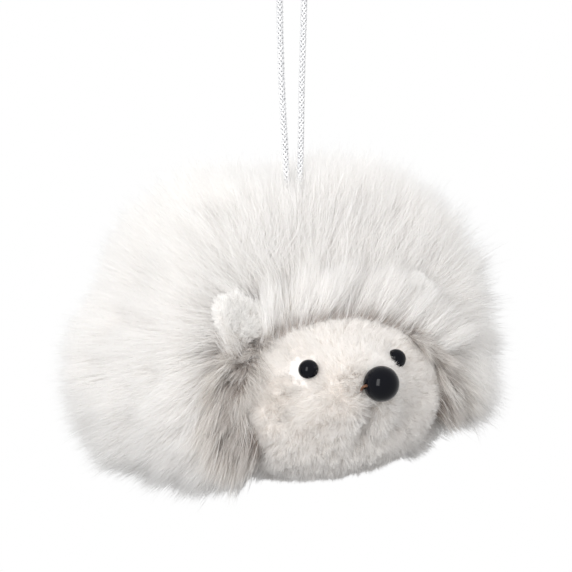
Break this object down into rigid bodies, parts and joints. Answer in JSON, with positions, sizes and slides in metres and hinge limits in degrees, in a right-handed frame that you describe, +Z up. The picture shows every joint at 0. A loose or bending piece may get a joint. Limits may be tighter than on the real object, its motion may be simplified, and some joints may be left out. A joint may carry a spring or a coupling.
{
  "type": "hanging plush hedgehog ornament",
  "caption": "Round plush hedgehog with a long-pile coat, short-pile face, glossy eyes and bead nose, hung from a braided cord loop.",
  "frame": {"origin": "where a hook bears inside the top of the cord loop", "axes": "+Z up along the cord, the animal looks along -Y, +X is the animal's left"},
  "size_m": [0.1087, 0.1012, 0.1396],
  "materials": {
    "long_pile": "matte",
    "short_pile": "matte",
    "filling": "matte",
    "stitching": "matte",
    "brown_thread": "matte",
    "black_gloss": "gloss",
    "washer": "matte",
    "silver_cord": "satin"
  },
  "bodies": {
    "loop": {"hanging_cord": "silver_cord"},
    "knot": {"cord_knot": "silver_cord"},
    "hedgehog": {"fur_coat": "long_pile", "face_panel": "short_pile", "belly_panel": "short_pile", "body_filling": "filling", "head_filling": "filling", "face_seam": "stitching", "belly_seam": "stitching", "chin_seam": "stitching", "nose_thread": "brown_thread", "left_eye": "black_gloss", "right_eye": "black_gloss", "left_eye_washer": "washer", "right_eye_washer": "washer"},
    "left_ear": {"left_ear_front": "short_pile", "left_ear_back": "short_pile"},
    "right_ear": {"right_ear_front": "short_pile", "right_ear_back": "short_pile"},
    "nose": {"nose_bead": "black_gloss"}
  },
  "joints": [
    {"name": "turn_on_cord", "type": "hinge", "parent": "loop", "child": "knot", "pos_m": [0, 0, -0.0816], "axis": [0, 0, 1], "range_deg": [-180, 180]},
    {"name": "sway_on_knot", "type": "hinge", "parent": "knot", "child": "hedgehog", "pos_m": [0, 0, -0.0816], "axis": [0, 1, 0], "range_deg": [-12, 12]},
    {"name": "left_ear_fold", "type": "hinge", "parent": "hedgehog", "child": "left_ear", "pos_m": [0.0222, -0.01755, -0.09526], "axis": [0.8551, -0.1516, -0.4957], "range_deg": [0, 70], "stiffness_Nm_per_rad": 0.002},
    {"name": "right_ear_fold", "type": "hinge", "parent": "hedgehog", "child": "right_ear", "pos_m": [-0.0222, -0.01755, -0.09526], "axis": [0.8551, 0.1516, 0.4957], "range_deg": [0, 70], "stiffness_Nm_per_rad": 0.002},
    {"name": "nose_bead_turn", "type": "hinge", "parent": "hedgehog", "child": "nose", "pos_m": [0, -0.04371, -0.10422], "axis": [1, 0, 0], "continuous": true}
  ]
}
